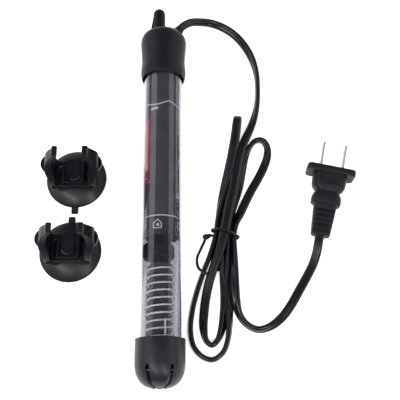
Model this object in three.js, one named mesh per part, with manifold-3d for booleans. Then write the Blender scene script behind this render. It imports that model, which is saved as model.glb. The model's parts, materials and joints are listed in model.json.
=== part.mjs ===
// Submersible aquarium heater with two loose suction-cup clips, in millimetres, +Z up.
// The heater lies on its side along Y with its cap towards +Y; the surface it lies on is z = 0.
// The origin is the centre of the footprint of heater and clips, without the cord.
import * as THREE from "three";
import { mergeVertices } from "three/addons/utils/BufferGeometryUtils.js";
import Module from "manifold-3d";

const wasm = await Module();
wasm.setup();

// Driving dimensions
const GAP = 0.3; // clearance between neighbouring pieces
const AXIS_X = 28.4; // heater axis, parallel to Y
const AXIS_Z = 13.8;
const HALF_LENGTH = 115; // knob tip at +Y, guard tip at -Y

const GLASS_R = 11.3;
const GLASS_WALL = 0.9;
const GLASS_TOP = 84;
const GLASS_BOTTOM = -108;
const BORE_R = GLASS_R - GLASS_WALL;

const CAP_R = 13.8;
const CAP_TOP = 97.7;
const CAP_LIP = 64.8;
const CAP_SHOULDER = 6.6;

const GUARD_R = 13.4;
const GUARD_RIM = -89.5;
const GUARD_WALL = 1.6;
const GUARD_SLOTS = 6;
const GUARD_SLOT_WIDTH = 2.4;
const GUARD_SLOT_TOP = -103.6;
const GUARD_SLOT_START = 27.3; // degrees between the top of the tube and the first slot

const SLEEVE_R = 9.9;
const SLEEVE_BOTTOM = -34.6;
const SLEEVE_TOP = 71.5;

const CORE_R = 6.6;
const CORE_TOP = -49.2;
const CORE_BOTTOM = -101;
const COIL_R = 7.5;
const COIL_WIRE_R = 0.4;
const COIL_PITCH = 4;
const COIL_TOP = -51.6;
const COIL_TURNS = 11;

const KNOB_X = AXIS_X - 2.8;
const KNOB_Z = AXIS_Z + 1.5;
const KNOB_R = 3.8;
const SPINDLE_R = 1.9;
const SPINDLE_BOTTOM = 64.9;
const SPINDLE_BORE_R = 2.15;

const GLAND_ANGLE = 40; // degrees from +Y towards +X
const GLAND_X = AXIS_X + 6.2;
const GLAND_Y = 97.4;
const GLAND_Z = AXIS_Z - 1.5;
const GLAND_LENGTH = 5;

const CLIPS = [
  { name: "clip_a", x: -23.1, y: 6.5, tab: -1, offset: -0.4 },
  { name: "clip_b", x: -24.4, y: -38, tab: 1, offset: 0.6 },
];
const CUP_R = 17.8;
const CUP_NECK_R = 3;
const CUP_HEAD_R = 4.1;
const PLATE_Z = 7;
const PLATE_WIDTH = 25.8;
const PLATE_LENGTH = 16.4;
const SADDLE_Z = 11;
const JAW_TOP = 31;
const JAW_LEAN = 1.2; // how far the tips lean towards +X
const EAR_R = 5.8;

const CORD_R = 1.6;
const CORD_STEPS = 84;
const TIE_R = 0.36;
const PLUG = { x: 126.8, y: 8.6, z: 7.2, yaw: -12.5, pitch: 2.1 }; // centre of its face
const PLUG_LENGTH = 41;
const BLADE_SPACING = 12.7;
const BLADE = { thickness: 1.5, height: 6.3, reach: 16, depth: 6 };

// Looks
const RUBBER = { color: 0x2a2a2e, roughness: 0.6 };
const BLACK_PLASTIC = { color: 0x2c2b30, roughness: 0.45 };
const GLASS = { color: 0xdfe3e8, roughness: 0.05, opacity: 0.3, transparent: true };
const PRINTED_SLEEVE = { color: 0x48474c, roughness: 0.5 };
const CERAMIC = { color: 0x55534f, roughness: 0.7 };
const BRIGHT_WIRE = { color: 0xc9c9cc, roughness: 0.3, metalness: 1 };
const BRASS = { color: 0xc8a450, roughness: 0.35, metalness: 1 };
const BOARD = { color: 0xb9ad8c, roughness: 0.6 };
const LEAD_SHEATH = { color: 0x8a2f26, roughness: 0.5 };
const NICKEL = { color: 0xcfcfd2, roughness: 0.25, metalness: 1 };

const root = new THREE.Group();

// Adds one named piece to a group.
function place(name, geometry, look, group = root) {
  const mesh = new THREE.Mesh(geometry, new THREE.MeshStandardMaterial(look));
  mesh.name = name;
  group.add(mesh);
}

// Solids and booleans
function toSolid(geometry) {
  const bare = geometry.index ? geometry.toNonIndexed() : geometry.clone();
  bare.deleteAttribute("normal");
  bare.deleteAttribute("uv");
  const merged = mergeVertices(bare, 1e-4);
  return new wasm.Manifold(
    new wasm.Mesh({
      numProp: 3,
      vertProperties: new Float32Array(merged.attributes.position.array),
      triVerts: new Uint32Array(merged.index.array),
    }),
  );
}

function toGeometry(solid) {
  const mesh = solid.getMesh();
  return new THREE.BufferGeometry()
    .setAttribute("position", new THREE.BufferAttribute(mesh.vertProperties, 3))
    .setIndex(new THREE.BufferAttribute(mesh.triVerts, 1));
}

function join(...geometries) {
  return toGeometry(geometries.map(toSolid).reduce((a, b) => a.add(b)));
}

function cut(geometry, ...tools) {
  return toGeometry(
    tools.map(toSolid).reduce((a, b) => a.subtract(b), toSolid(geometry)),
  );
}

// Outlines and primitives
function arc(x, y, r, from, to, steps) {
  return Array.from({ length: steps + 1 }, (_, i) => {
    const a = THREE.MathUtils.degToRad(from + ((to - from) * i) / steps);
    return [x + r * Math.cos(a), y + r * Math.sin(a)];
  });
}

// A solid of revolution about Y from [radius, y] points, faces outwards whichever way they run.
function turned(points, segments = 32) {
  const area = points.reduce((sum, [x, y], i) => {
    const [nextX, nextY] = points[(i + 1) % points.length];
    return sum + x * nextY - nextX * y;
  }, 0);
  const ordered = area > 0 ? points : [...points].reverse();
  const onAxis = ordered.some(([x]) => x === 0);
  const start = onAxis
    ? ordered.findIndex(([x], i) => x === 0 && ordered.at(i - 1)[0] === 0)
    : 0;
  const run = [...ordered.slice(start), ...ordered.slice(0, start)];
  if (!onAxis) run.push(run[0]);
  const profile = run.map(([x, y]) => new THREE.Vector2(x, y));
  return new THREE.LatheGeometry(profile, segments);
}

function alongHeater(geometry) {
  return geometry.translate(AXIS_X, 0, AXIS_Z);
}

// A cylinder along Y between two heights.
function rod(x, z, r, y0, y1, segments = 20) {
  return new THREE.CylinderGeometry(r, r, y1 - y0, segments).translate(
    x,
    (y0 + y1) / 2,
    z,
  );
}

function block(width, length, height, x, y, z) {
  return new THREE.BoxGeometry(width, length, height).translate(x, y, z);
}

function circle(r, sides) {
  const points = Array.from({ length: sides }, (_, i) => {
    const a = (2 * Math.PI * i) / sides;
    return new THREE.Vector2(r * Math.cos(a), r * Math.sin(a));
  });
  return new THREE.Shape(points);
}

function tube(points, r, steps, sides = 8) {
  const path = new THREE.CatmullRomCurve3(
    points.map((p) => new THREE.Vector3(...p)),
    false,
    "centripetal",
  );
  return new THREE.ExtrudeGeometry(circle(r, sides), {
    steps,
    extrudePath: path,
  });
}

// A prism of a side outline: [x, z] points, extruded from y0 to y1.
function prism(outline, y0, y1) {
  const shape = new THREE.Shape(outline.map(([x, z]) => new THREE.Vector2(x, z)));
  return new THREE.ExtrudeGeometry(shape, {
    depth: y1 - y0,
    bevelEnabled: false,
  })
    .rotateX(Math.PI / 2)
    .translate(0, y1, 0);
}

// A box with rounded corners in its width-height plane, extruded along Y.
function pad(width, height, radius, y0, y1) {
  const w = width / 2 - radius;
  const h = height / 2 - radius;
  const outline = [
    ...arc(w, h, radius, 0, 90, 4),
    ...arc(-w, h, radius, 90, 180, 4),
    ...arc(-w, -h, radius, 180, 270, 4),
    ...arc(w, -h, radius, 270, 360, 4),
  ];
  return prism(outline, y0, y1);
}

// Glass tube, closed and rounded at its lower end
function glassTube() {
  const rounding = 9;
  const flatR = GLASS_R - rounding;
  const y = GLASS_BOTTOM + rounding;
  const outer = arc(flatR, y, rounding, -90, 0, 6);
  const inner = arc(flatR, y, rounding - GLASS_WALL, 0, -90, 6);
  return alongHeater(
    turned([
      [0, GLASS_BOTTOM],
      ...outer,
      [GLASS_R, GLASS_TOP],
      [BORE_R, GLASS_TOP],
      ...inner,
      [0, GLASS_BOTTOM + GLASS_WALL],
    ]),
  );
}

// A cylinder that leaves the cap's shoulder along the cord's exit direction.
function alongGland(r0, r1, from, to) {
  return new THREE.CylinderGeometry(r1, r0, to - from, 20)
    .translate(0, (from + to) / 2, 0)
    .rotateZ(-THREE.MathUtils.degToRad(GLAND_ANGLE))
    .translate(GLAND_X, GLAND_Y, GLAND_Z);
}

// Rubber cap: a domed body, a waist and a soft lip that stands off the glass
function rubberCap() {
  const shoulderR = CAP_R - CAP_SHOULDER;
  const body = alongHeater(
    turned([
      [0, CAP_TOP],
      ...arc(shoulderR, CAP_TOP - CAP_SHOULDER, CAP_SHOULDER, 90, 0, 8),
      [13.5, 85],
      [13, 80],
      [13, 76],
      [13.3, 72.5],
      [13.4, 69.5],
      [13.1, 67],
      [12.5, CAP_LIP],
      [12.1, CAP_LIP],
      [12, 67],
      [GLASS_R + GAP, 70],
      [GLASS_R + GAP, GLASS_TOP + 2 * GAP],
      [0, GLASS_TOP + 2 * GAP],
    ]),
  );
  const spindleBore = rod(KNOB_X, KNOB_Z, SPINDLE_BORE_R, 80, 100);
  const cordBore = alongGland(2.6, 2.6, -10, 8);
  const leadBore = rod(AXIS_X + 5.2, GLAND_Z, 2.4, 80, 93);
  return cut(body, spindleBore, cordBore, leadBore);
}

function stopper() {
  const bottom = 72;
  const ringY = 78;
  const grooveR = 8.4;
  const body = alongHeater(
    turned([
      [0, bottom],
      [BORE_R - GAP, bottom],
      [BORE_R - GAP, ringY - 1.1],
      [grooveR, ringY - 1.1],
      [grooveR, ringY + 1.1],
      [BORE_R - GAP, ringY + 1.1],
      [BORE_R - GAP, GLASS_TOP + GAP],
      [0, GLASS_TOP + GAP],
    ]),
  );
  const spindleBore = rod(KNOB_X, KNOB_Z, SPINDLE_BORE_R, 70, 90);
  const leadBore = rod(AXIS_X + 5.2, GLAND_Z, 2.4, 70, 90);
  return cut(body, spindleBore, leadBore);
}

function sealRing() {
  return alongHeater(turned(arc(9.45, 78, 0.8, 0, 315, 7), 24));
}

function cordGland() {
  const collar = alongGland(2.3, 2.3, -4, 3);
  const nose = alongGland(3, 2.5, 2.6, GLAND_LENGTH);
  return join(collar, nose);
}

// End guard: a slotted dome that covers the hot end of the glass
function endGuard() {
  const bottom = -HALF_LENGTH;
  const domeTop = -101;
  const squareness = 2.5; // exponent of the dome's outline, 2 is an ellipse
  const dome = (r, drop, steps) =>
    Array.from({ length: steps + 1 }, (_, i) => {
      const a = (Math.PI / 2) * (i / steps);
      return [
        r * Math.cos(a) ** (2 / squareness),
        domeTop - drop * Math.sin(a) ** (2 / squareness),
      ];
    });
  const outer = dome(GUARD_R, domeTop - bottom, 7);
  const inner = dome(GLASS_R + GAP, domeTop - bottom - GUARD_WALL, 7);
  outer[outer.length - 1] = [0, bottom];
  inner[inner.length - 1] = [0, bottom + GUARD_WALL];
  const shell = alongHeater(
    turned(
      [
        [GLASS_R + GAP, GUARD_RIM],
        [GUARD_R - 0.3, GUARD_RIM],
        [GUARD_R, GUARD_RIM - 0.6],
        ...outer,
        ...inner.reverse(),
      ],
      36,
    ),
  );
  const slots = Array.from({ length: GUARD_SLOTS / 2 }, (_, i) => {
    const depth = GUARD_SLOT_TOP - bottom + 2;
    const turn = GUARD_SLOT_START + (180 / GUARD_SLOTS) * 2 * i;
    return block(GUARD_SLOT_WIDTH, depth, 3 * GUARD_R, 0, GUARD_SLOT_TOP - depth / 2, 0)
      .rotateY(THREE.MathUtils.degToRad(-turn))
      .translate(AXIS_X, 0, AXIS_Z);
  });
  const tipHole = rod(AXIS_X, AXIS_Z, 2.4, bottom - 2, bottom + 4);
  return cut(shell, ...slots, tipHole);
}

function labelSleeve() {
  return alongHeater(
    turned([
      [SLEEVE_R, SLEEVE_BOTTOM],
      [SLEEVE_R, SLEEVE_TOP],
      [SLEEVE_R - 0.3, SLEEVE_TOP],
      [SLEEVE_R - 0.3, SLEEVE_BOTTOM],
    ]),
  );
}

// Heating core: a holder, a ceramic former, its wire and the foot that centres it
function coreHolder() {
  const body = rod(AXIS_X - 1.5, AXIS_Z, 8.6, -46.9, -38, 32);
  const collar = rod(AXIS_X, AXIS_Z, 5, CORE_TOP + GAP, -46, 24);
  const stem = block(5.2, 24, 4, AXIS_X - 1.6, -28, AXIS_Z + 4);
  return join(body, collar, stem);
}

function ceramicCore() {
  return alongHeater(
    turned(
      [
        [0, CORE_BOTTOM],
        [CORE_R - 0.6, CORE_BOTTOM],
        [CORE_R, CORE_BOTTOM + 0.6],
        [CORE_R, CORE_TOP - 0.6],
        [CORE_R - 0.6, CORE_TOP],
        [0, CORE_TOP],
      ],
      32,
    ),
  );
}

function heatingCoil() {
  const stepsPerTurn = 10;
  const steps = COIL_TURNS * stepsPerTurn;
  const points = Array.from({ length: steps + 1 }, (_, i) => {
    const a = (2 * Math.PI * i) / stepsPerTurn;
    return [
      AXIS_X + COIL_R * Math.cos(a),
      COIL_TOP - COIL_PITCH * (COIL_TURNS - i / stepsPerTurn),
      AXIS_Z - COIL_R * Math.sin(a),
    ];
  });
  return tube(points, COIL_WIRE_R, steps, 5);
}

function returnLead() {
  const x = AXIS_X + 3;
  const z = AXIS_Z + 8;
  return tube(
    [
      [x, -100, z - 0.4],
      [x, -94, z],
      [x, -80, z],
    ],
    0.45,
    6,
  );
}

function coreFoot() {
  return alongHeater(
    turned([
      [0, -104],
      [6.4, -104],
      [8.6, -102.6],
      [8.6, CORE_BOTTOM - GAP],
      [0, CORE_BOTTOM - GAP],
    ]),
  );
}

// Thermostat: board, posts, contacts and lamp, inside the printed sleeve
const BOARD_Z = AXIS_Z - 3;
const BLADE_PIVOT_Y = 58;
const BLADE_Z = AXIS_Z + 0.9;
const CONTACT_Y = 33;

function thermostatBoard() {
  const panel = block(13, 52, 1.2, AXIS_X, 40, BOARD_Z - 0.6);
  const post = block(4, 4, BLADE_Z - GAP - BOARD_Z + 0.2, AXIS_X - 2, BLADE_PIVOT_Y + 2.6, 0);
  const postZ = (BLADE_Z - GAP + BOARD_Z - 0.2) / 2;
  return join(panel, post.translate(0, 0, postZ));
}

function fixedContact() {
  const z0 = BOARD_Z + GAP;
  const height = 1.6;
  return new THREE.CylinderGeometry(1.4, 1.4, height, 16)
    .rotateX(Math.PI / 2)
    .translate(AXIS_X - 2, CONTACT_Y, z0 + height / 2);
}

function snapMagnet() {
  return block(3, 3.4, 1.8, AXIS_X - 2, CONTACT_Y + 6, BOARD_Z + GAP + 0.9);
}

function bimetalBlade() {
  const length = BLADE_PIVOT_Y + 4.4 - (CONTACT_Y - 2);
  return block(3.4, length, 0.6, AXIS_X - 2, CONTACT_Y - 2 + length / 2, BLADE_Z + 0.3);
}

function movingContact() {
  return new THREE.CylinderGeometry(1.3, 1.3, 0.8, 16)
    .rotateX(Math.PI / 2)
    .translate(AXIS_X - 2, CONTACT_Y, BLADE_Z - GAP - 0.4);
}

function neonLamp() {
  return turned(
    [
      [0, 40],
      [1.6, 40],
      [2.1, 41],
      [2.1, 47],
      ...arc(0, 47, 2.1, 0, 90, 4).slice(1, -1),
      [0, 49.1],
    ],
    16,
  ).translate(AXIS_X + 4.2, 0, AXIS_Z + 0.4);
}

function lampResistor() {
  return rod(AXIS_X + 4.2, AXIS_Z - 1, 1.1, 28, 34.5, 12);
}

function supplyLead(side) {
  const x = AXIS_X + 5.2;
  const z = GLAND_Z + side * 1;
  return tube(
    [
      [x, 90, z],
      [x, 78, z],
      [x - 0.4, 70, z + side * 0.2],
      [x - 1, 67.5, AXIS_Z + 1 + side * 1.6],
    ],
    0.7,
    10,
    6,
  );
}

// Temperature dial: knob, spindle and cam turn together
function adjustKnob() {
  const bottom = CAP_TOP + GAP;
  const length = HALF_LENGTH - bottom;
  const post = turned(
    [
      [0, bottom],
      [KNOB_R + 0.5, bottom],
      [KNOB_R + 0.1, bottom + 2],
      [KNOB_R, bottom + length - 3],
      ...arc(0.6, HALF_LENGTH - 2.8, 2.8, 0, 90, 5),
      [0, HALF_LENGTH],
    ],
    28,
  )
    .scale(1, 1, 0.86)
    .translate(KNOB_X, 0, KNOB_Z);
  const fin = [
    [-1, bottom + length - 4],
    [-KNOB_R, bottom + length - 4],
    [-KNOB_R - 1.5, bottom + 0.1],
    [-1, bottom + 0.1],
  ];
  const finShape = new THREE.Shape(fin.map(([x, y]) => new THREE.Vector2(x, y)));
  const pointer = new THREE.ExtrudeGeometry(finShape, {
    depth: 3,
    bevelEnabled: false,
  }).translate(KNOB_X, 0, KNOB_Z - 1.5);
  return join(post, pointer);
}

function spindle() {
  return rod(KNOB_X, KNOB_Z, SPINDLE_R, SPINDLE_BOTTOM, CAP_TOP);
}

function adjustCam() {
  return rod(KNOB_X + 0.7, KNOB_Z, 2.6, 63, SPINDLE_BOTTOM - GAP, 24);
}

// Clips: a suction cup with a button neck, and jaws that swivel on it
function suctionCup(clip) {
  const profile = [
    [14.6, 0],
    [CUP_R, 0],
    [CUP_R, 0.8],
    [15.8, 2.3],
    [12.6, 3.9],
    [9, 4.9],
    [6, 5.3],
    [CUP_NECK_R + 0.6, 5.6],
    [CUP_NECK_R, 6.2],
    [CUP_NECK_R, 8.9],
    [CUP_HEAD_R, 9.1],
    [CUP_HEAD_R, 9.7],
    [CUP_HEAD_R - 0.8, 10.1],
    [0, 10.1],
    [0, 3.4],
    [5, 3.1],
    [9.5, 2.1],
  ];
  const cup = turned(profile, 36).rotateX(Math.PI / 2);
  const reach = clip.tab < 0 ? 4 : 3.1;
  const tabLength = reach + 2;
  const tab = block(4, tabLength, 1.3, 0, clip.tab * (CUP_R + reach - tabLength / 2), 0.65);
  return join(cup, tab).translate(clip.x, clip.y, 0);
}

// Side outline of the right-hand jaw, from its foot to its tip.
const JAW = [
  [9.4, 9.4],
  [12.9, 9.4],
  [12.9, 14.8],
  [14.1, 16.5],
  [15.1, 18.4],
  [15.2, 20.4],
  [14, 23.2],
  [12.2, 26],
  [10.5, 28],
  [10, JAW_TOP],
  [6.9, JAW_TOP],
  [6.9, 29.2],
  [8.4, 27.6],
  [10.1, 25],
  [11.1, 22.3],
  [10.9, 19.4],
  [9.8, 16.4],
];

// Turns a shape drawn in the XY plane into one drawn in the YZ plane.
function standUp(geometry) {
  return geometry.rotateX(Math.PI / 2).rotateZ(Math.PI / 2);
}

function jaw(side) {
  const back = PLATE_LENGTH / 2;
  const lean = (z) => (JAW_LEAN * Math.max(0, z - 10)) / (JAW_TOP - 10);
  const whole = prism(JAW.map(([x, z]) => [side * x + lean(z), z]), -back, back);
  const front = [
    [-back - 1, 9.6],
    [-back - 1, JAW_TOP + 1],
    [2.2, JAW_TOP + 1],
    [2.2, 26.5],
    [-1.6, 20],
    [-back + 0.8, 13.5],
    [-back, 9.6],
  ].map(([y, z]) => new THREE.Vector2(y, z));
  const slope = standUp(
    new THREE.ExtrudeGeometry(new THREE.Shape(front), { depth: 14, bevelEnabled: false }),
  ).translate(side > 0 ? 5 : -19, 0, 0);
  const outline = arc(0, 0, EAR_R, -84, 84, 12).map(([x, y]) => new THREE.Vector2(x, y));
  const ear = new THREE.ExtrudeGeometry(new THREE.Shape(outline), {
    depth: 2.2,
    bevelEnabled: false,
  })
    .rotateZ(side > 0 ? 0 : Math.PI)
    .translate(side * 11.8, 3.4, 15.6);
  return join(cut(whole, slope), ear);
}

function clipJaws(clip) {
  const plate = block(PLATE_WIDTH, PLATE_LENGTH, 3, 0, 0, PLATE_Z + 1.5);
  const saddle = block(10, PLATE_LENGTH, SADDLE_Z - PLATE_Z - 1, 0, 0, (SADDLE_Z + PLATE_Z + 1) / 2);
  const neckBore = new THREE.CylinderGeometry(CUP_NECK_R + 0.25, CUP_NECK_R + 0.25, 4, 32)
    .rotateX(Math.PI / 2)
    .translate(0, 0, 7);
  const headBore = new THREE.CylinderGeometry(CUP_HEAD_R + 0.25, CUP_HEAD_R + 0.25, 1.7, 32)
    .rotateX(Math.PI / 2)
    .translate(0, 0, 9.55);
  const frame = join(plate, saddle, jaw(1), jaw(-1)).translate(clip.offset, 0, 0);
  return cut(frame, neckBore, headBore).translate(clip.x, clip.y, 0);
}

// Plug: a flanged, moulded body with a ribbed strain relief, its face at y = 0 of its own frame
function plugBody() {
  const taper = (width0, width1, height0, height1, y0, y1) => {
    const part = pad(width0, height0, height0 * 0.4, y0, y1);
    const position = part.attributes.position;
    for (let i = 0; i < position.count; i += 1) {
      const t = (position.getY(i) - y0) / (y1 - y0);
      position.setX(i, position.getX(i) * (1 + (width1 / width0 - 1) * t));
      position.setZ(i, position.getZ(i) * (1 + (height1 / height0 - 1) * t));
    }
    return part;
  };
  const flange = pad(28, 14, 4, -4, 0);
  const shell = taper(19.4, 19.8, 11.4, 12, -11, -3.9);
  const shoulder = taper(13.8, 19.4, 9.6, 11.4, -14.6, -10.9);
  const collar = taper(17, 14.6, 11, 10, -22.4, -14.5);
  const relief = taper(10.8, 13.2, 8.2, 9.8, -PLUG_LENGTH, -22.3);
  const grooves = Array.from({ length: 5 }, (_, i) => -26.8 - 2.9 * i).flatMap((y) =>
    [1, -1].map((side) => block(10, 1.4, 2.4, 1.6, y, side * 4.7)),
  );
  const pockets = [-1, 1].map((side) =>
    block(
      BLADE.thickness + 2 * GAP,
      BLADE.depth + GAP + 1,
      BLADE.height + 2 * GAP,
      (side * BLADE_SPACING) / 2,
      (1 - BLADE.depth - GAP) / 2,
      0,
    ),
  );
  return cut(join(flange, shell, shoulder, collar, relief), ...grooves, ...pockets);
}

function plugBlade(side) {
  const { thickness, height, reach, depth } = BLADE;
  const x = (side * BLADE_SPACING) / 2;
  const shank = block(thickness, reach + depth - 2, height, x, (reach - depth - 2) / 2, 0);
  const tip = block(thickness, 4, height - 1.6, x, reach - 2, 0);
  return join(shank, tip);
}

// Mains cord: laid loose from the cap, folded into a tied bundle, then out to the plug
const CORD_ROUTE = [
  // out of the cap and round to the bundle
  [38.1, 101.6, 12.3],
  [40.7, 104.7, 11.9],
  [45.2, 108.2, 10.2],
  [51.2, 110.3, 7.5],
  [58, 111, 5],
  [65.1, 109.1, 3.4],
  [72.1, 104.6, 2.5],
  [78, 97.5, 2.3],
  [82.9, 87.8, 2.4],
  [85.8, 76.2, 2.6],
  [86.3, 64.2, 2.6],
  [85.3, 53.1, 2.6],
  [82.8, 43, 2.4],
  [79.9, 35.2, 3.4],
  [76.4, 27.1, 5.6],
  [73.3, 18.2, 6.9],
  [71.1, 7.8, 7.2],
  [68.9, -3.5, 7.3],
  [66.5, -13.9, 7.3],
  [64.7, -22.9, 7.2],
  [63, -31.2, 7],
  // inner lower loop
  [60.2, -41.4, 5.8],
  [56.1, -52.4, 4],
  [53.2, -63.4, 2.2],
  [51.6, -74.5, 2],
  [51.3, -82.5, 2.2],
  [52.8, -89.2, 2.5],
  [55.8, -91.5, 2.6],
  [58.7, -89.1, 2.6],
  [61.2, -83.3, 2.4],
  [62.7, -75, 1.9],
  [63.3, -65.3, 1.8],
  [63, -53.7, 1.8],
  [62.6, -43.7, 2.4],
  [62.5, -28.7, 2.6],
  // narrow fold that stands on its edge
  [64.5, -17.8, 2.4],
  [67, -4.1, 1.8],
  [69.4, 12.5, 1.8],
  [71.4, 28.8, 1.8],
  [72.6, 37.3, 2.4],
  [73.1, 41.9, 5],
  [73, 42.1, 8.4],
  [72.3, 37.9, 11],
  [70.8, 27.8, 11.6],
  [68.2, 14.5, 9.2],
  [65.1, 1.7, 6.2],
  [61.8, -10.9, 3.6],
  [60, -20.9, 2.7],
  [59, -28.7, 2.6],
  // outer lower loop
  [56.2, -38.8, 2.6],
  [51.8, -50.4, 2.6],
  [47.7, -62.3, 2.6],
  [45, -73.4, 2.6],
  [44.1, -84, 2.6],
  [46, -92.4, 2.6],
  [50.9, -97.8, 2.6],
  [56.3, -99.2, 2.6],
  [61.6, -95.6, 2.6],
  [64.6, -88.3, 2.6],
  [65.5, -79.1, 2.4],
  [65.5, -69, 1.8],
  [65.5, -58.3, 1.8],
  [65.6, -45.7, 2.4],
  [66, -28.8, 2.6],
  // right-hand loop
  [67.9, -19.1, 2.6],
  [70.6, -9.3, 2.4],
  [73.2, 0.1, 2],
  [75, 9.7, 2],
  [77.1, 18.6, 2.2],
  [80.1, 25.4, 2.6],
  [83.6, 29.3, 2.8],
  [87.4, 29.7, 2.8],
  [90.2, 26.3, 2.7],
  [90.5, 19.9, 2.3],
  [88, 12.4, 1.8],
  [84.4, 5.2, 1.8],
  [80.4, -1.7, 1.8],
  [76.6, -9.2, 1.9],
  [73.5, -16, 2.2],
  [70.8, -22.5, 2.6],
  [69.5, -29.4, 2.6],
  // from the bundle to the plug
  [69.2, -39.6, 3],
  [68.9, -50.4, 4],
  [69, -60.2, 4.4],
  [69.5, -68.4, 3.8],
  [71, -74.7, 2.6],
  [74.9, -80.3, 2.4],
  [81.1, -83.3, 2.4],
  [87.8, -81.7, 2.2],
  [94.3, -76.9, 1.8],
  [99.9, -69.9, 1.8],
  [104.9, -61.8, 1.8],
  [110.2, -53, 1.8],
  [113.5, -46.9, 2.1],
  [115.6, -41.1, 3.5],
  [116.8, -35.6, 5.1],
  [117.6, -31.8, 5.6],
];

// Wire tie: one turn round the bundle, its ends twisted into a tail
const TIE_ROUTE = [
  [54, -54.6, 5.4],
  [51.2, -52.6, 5],
  [48.9, -48.8, 4.4],
  [47.9, -43, 3.6],
  [49.2, -37, 3.2],
  [51, -33, 3],
  [54.6, -31.2, 2.2],
  [56.2, -30.4, 3.4],
  [57.4, -29.4, 6],
  [61, -29.2, 8.9],
  [64.4, -29.4, 9.6],
  [67, -30, 8.6],
  [71.3, -31, 5],
  [72.4, -31.4, 2.6],
  [71.4, -31, 0.8],
  [69, -30.4, 0.5],
  [60, -28.6, 0.5],
  [57.4, -28.2, 0.9],
  [56, -28.6, 1.8],
];

place("glass_tube", glassTube(), GLASS);
place("rubber_cap", rubberCap(), RUBBER);
place("stopper", stopper(), BLACK_PLASTIC);
place("seal_ring", sealRing(), RUBBER);
place("cord_gland", cordGland(), RUBBER);
place("end_guard", endGuard(), BLACK_PLASTIC);
place("label_sleeve", labelSleeve(), PRINTED_SLEEVE);
place("core_holder", coreHolder(), RUBBER);
place("ceramic_core", ceramicCore(), CERAMIC);
place("heating_coil", heatingCoil(), BRIGHT_WIRE);
place("return_lead", returnLead(), BRIGHT_WIRE);
place("core_foot", coreFoot(), CERAMIC);
place("thermostat_board", thermostatBoard(), BOARD);
place("fixed_contact", fixedContact(), BRASS);
place("snap_magnet", snapMagnet(), NICKEL);
place("neon_lamp", neonLamp(), GLASS);
place("lamp_resistor", lampResistor(), CERAMIC);
place("supply_lead_live", supplyLead(1), LEAD_SHEATH);
place("supply_lead_neutral", supplyLead(-1), LEAD_SHEATH);
place("adjust_knob", adjustKnob(), BLACK_PLASTIC);
place("spindle", spindle(), NICKEL);
place("adjust_cam", adjustCam(), BRASS);
place("bimetal_blade", bimetalBlade(), BRASS);
place("moving_contact", movingContact(), NICKEL);
for (const clip of CLIPS) {
  place(clip.name + "_cup", suctionCup(clip), RUBBER);
  place(clip.name + "_jaws", clipJaws(clip), BLACK_PLASTIC);
}

const plug = new THREE.Group();
plug.position.set(PLUG.x, PLUG.y, PLUG.z);
plug.rotation.set(
  THREE.MathUtils.degToRad(PLUG.pitch),
  0,
  THREE.MathUtils.degToRad(PLUG.yaw),
  "ZYX",
);
root.add(plug);
place("plug_body", plugBody(), RUBBER, plug);
place("plug_blade_left", plugBlade(-1), NICKEL, plug);
place("plug_blade_right", plugBlade(1), NICKEL, plug);
place("mains_cord", tube(CORD_ROUTE, CORD_R, CORD_STEPS), RUBBER);
place("wire_tie", tube(TIE_ROUTE, TIE_R, 44, 6), RUBBER);

export default root;
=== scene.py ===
"""Submersible aquarium heater with two loose suction-cup clips and a tied mains cord.

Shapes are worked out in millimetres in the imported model's frame and written in metres.
The heater lies along Y with its cap towards +Y, and rests at z = 0.
"""

import json
from math import cos, exp, pi, radians, sin, sqrt

import bmesh
import bpy
from mathutils import Matrix, Vector


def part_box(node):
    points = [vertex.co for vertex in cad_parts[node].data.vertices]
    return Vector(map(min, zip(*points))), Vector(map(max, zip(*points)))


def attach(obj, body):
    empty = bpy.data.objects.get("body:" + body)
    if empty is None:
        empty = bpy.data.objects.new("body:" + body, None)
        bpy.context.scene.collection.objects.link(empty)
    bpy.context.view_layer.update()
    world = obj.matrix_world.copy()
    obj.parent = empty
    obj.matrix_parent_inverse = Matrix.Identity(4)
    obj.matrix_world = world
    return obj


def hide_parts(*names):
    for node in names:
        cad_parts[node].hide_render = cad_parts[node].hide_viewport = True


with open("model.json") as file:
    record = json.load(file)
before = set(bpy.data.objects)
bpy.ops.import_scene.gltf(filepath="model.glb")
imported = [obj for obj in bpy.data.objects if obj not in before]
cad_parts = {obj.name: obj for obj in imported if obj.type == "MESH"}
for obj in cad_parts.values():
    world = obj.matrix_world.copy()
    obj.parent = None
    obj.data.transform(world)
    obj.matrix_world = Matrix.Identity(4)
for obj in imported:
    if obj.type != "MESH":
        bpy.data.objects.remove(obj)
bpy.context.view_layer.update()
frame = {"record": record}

MM = 0.001  # metres in a millimetre


def middle(node):
    """The centre of a CAD node's box, in millimetres."""
    low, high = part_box(node)
    return Vector(low).lerp(Vector(high), 0.5) / MM


AXIS_X = middle("glass_tube").x
AXIS_Z = middle("glass_tube").z
GLASS_R = 11.3
CAP_R = 13.8
GUARD_R = 13.4
SLEEVE_R = 9.9
KNOB = middle("spindle")


# ---------------------------------------------------------------- camera

def make_camera():
    target = Vector((50, -7, 0)) * MM
    distance = 392 * MM
    pitch = radians(19.5)  # off straight down, seen from the guard's end
    roll = radians(-0.5)
    data = bpy.data.cameras.new("camera")
    data.lens = 60
    data.sensor_width = 36
    data.clip_start = 0.01
    data.clip_end = 20
    camera = bpy.data.objects.new("camera", data)
    bpy.context.collection.objects.link(camera)
    back = Vector((0, -sin(pitch), cos(pitch)))
    turn = (-back).to_track_quat("-Z", "Y").to_matrix().to_4x4()
    place = Matrix.Translation(target + back * distance)
    camera.matrix_world = place @ turn @ Matrix.Rotation(roll, 4, "Z")
    bpy.context.scene.camera = camera


make_camera()


# ---------------------------------------------------------------- materials

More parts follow.
